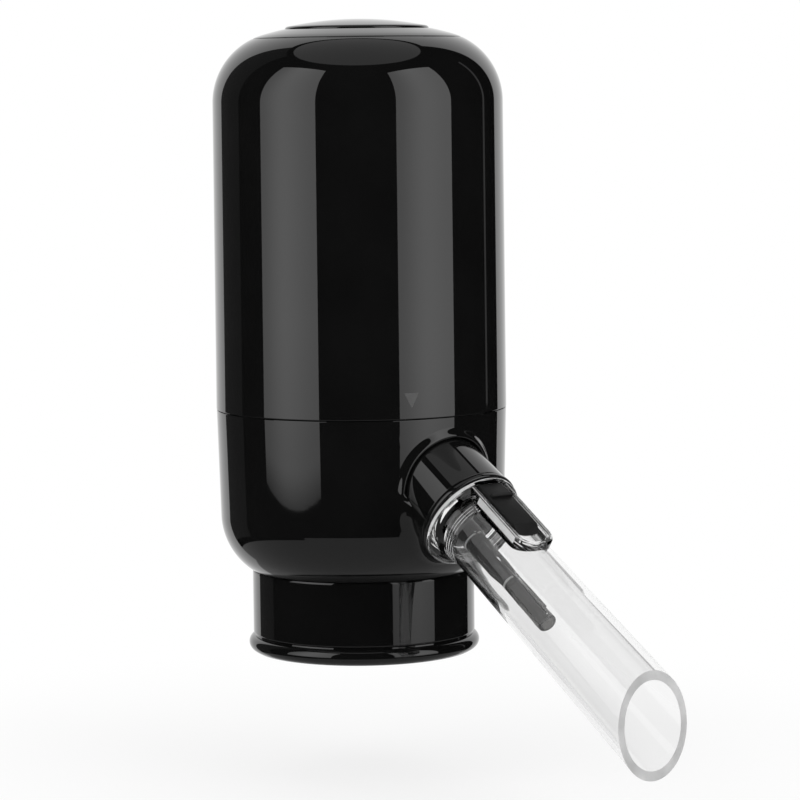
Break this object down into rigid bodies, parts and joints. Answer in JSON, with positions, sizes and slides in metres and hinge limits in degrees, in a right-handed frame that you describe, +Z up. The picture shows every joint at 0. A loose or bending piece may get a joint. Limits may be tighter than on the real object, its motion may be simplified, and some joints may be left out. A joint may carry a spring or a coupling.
{
  "type": "electric wine pourer",
  "caption": "Electric wine pourer: a tall round pump housing with a push button, a bottle stopper in a skirt, and a sloping clear spout with an air slider.",
  "frame": {"origin": "centre of the bottle's mouth, in the plane that the bottle's lip rests against", "axes": "+Z up along the body's axis, -Y the way the spout points, +X across the spout"},
  "size_m": [0.0582, 0.1157, 0.1395],
  "materials": {
    "gloss_black": "polished black",
    "matte_black": "fine matt black",
    "clear_plastic": "clear and colourless",
    "silicone": "matt silicone",
    "white_plastic": "plain moulded",
    "steel": "plain bright",
    "cell_sleeve": "plain printed sleeve, no text",
    "board_green": "solder mask"
  },
  "bodies": {
    "housing": {"lower_shell": "gloss_black", "neck_skirt": "gloss_black", "bottle_stopper": "silicone", "stopper_core": "matte_black", "straw_nipple": "silicone", "outlet_elbow": "silicone", "air_hose_upper": "silicone", "air_hose_lower": "silicone", "check_valve": "white_plastic", "deck_plate": "matte_black", "pump_base": "white_plastic", "pump_diaphragm": "silicone", "pump_follower": "white_plastic", "pump_chamber": "white_plastic", "pump_motor": "steel", "motor_pad": "silicone", "battery_holder": "matte_black", "circuit_board": "board_green", "tact_switch": "matte_black", "spout_collar": "gloss_black", "deck_screw_1": "steel", "deck_screw_2": "steel", "deck_screw_3": "steel", "holder_screw_1": "steel", "holder_screw_2": "steel", "holder_screw_3": "steel", "battery_1": "cell_sleeve", "battery_2": "cell_sleeve", "battery_3": "cell_sleeve", "battery_4": "cell_sleeve", "battery_5": "cell_sleeve", "battery_6": "cell_sleeve", "battery_spring_1": "steel", "battery_spring_2": "steel", "battery_spring_3": "steel", "battery_spring_4": "steel", "battery_spring_5": "steel", "battery_spring_6": "steel", "contact_lower_1": "steel", "contact_lower_2": "steel", "contact_lower_3": "steel", "contact_upper_1": "steel", "contact_upper_2": "steel", "terminal_plus": "steel", "terminal_minus": "steel"},
    "shaft": {"motor_shaft": "steel"},
    "stem": {"switch_stem": "matte_black"},
    "seal": {"seal_ring": "silicone"},
    "cover": {"upper_shell": "gloss_black", "top_ring": "gloss_black", "button_carrier": "matte_black", "button_spring": "steel"},
    "button": {"button_cap": "gloss_black", "button_plunger": "white_plastic"},
    "spout": {"spout_tube": "clear_plastic", "spout_nozzle": "clear_plastic", "spout_seal_1": "silicone", "spout_seal_2": "silicone"},
    "slider": {"air_slider": "matte_black", "air_pin": "silicone"}
  },
  "joints": [
    {"name": "motor_spin", "type": "hinge", "parent": "housing", "child": "shaft", "pos_m": [0, 0, 0.05], "axis": [0, 0, 1], "continuous": true},
    {"name": "switch_press", "type": "slide", "parent": "housing", "child": "stem", "axis": [0, 0, -1], "range_m": [0, 0.00025]},
    {"name": "cover_twist", "type": "hinge", "parent": "housing", "child": "seal", "pos_m": [0, 0, 0.0256], "axis": [0, 0, 1], "range_deg": [0, 17.8]},
    {"name": "cover_lift", "type": "slide", "parent": "seal", "child": "cover", "axis": [0, 0, 1], "range_m": [0, 0.072]},
    {"name": "button_press", "type": "slide", "parent": "cover", "child": "button", "axis": [0, 0, -1], "range_m": [0, 0.0015], "stiffness_N_per_m": 800, "springref_m": -0.001, "deforming": ["button_spring"]},
    {"name": "spout_pull", "type": "slide", "parent": "housing", "child": "spout", "axis": [0, -0.8462, -0.5329], "range_m": [0, 0.022]},
    {"name": "air_slide", "type": "slide", "parent": "spout", "child": "slider", "axis": [0, -0.8462, -0.5329], "range_m": [0, 0.0023]}
  ],
  "couplings": [
    {"joint": "switch_press", "follows": "button_press", "ratio": 0.166}
  ]
}
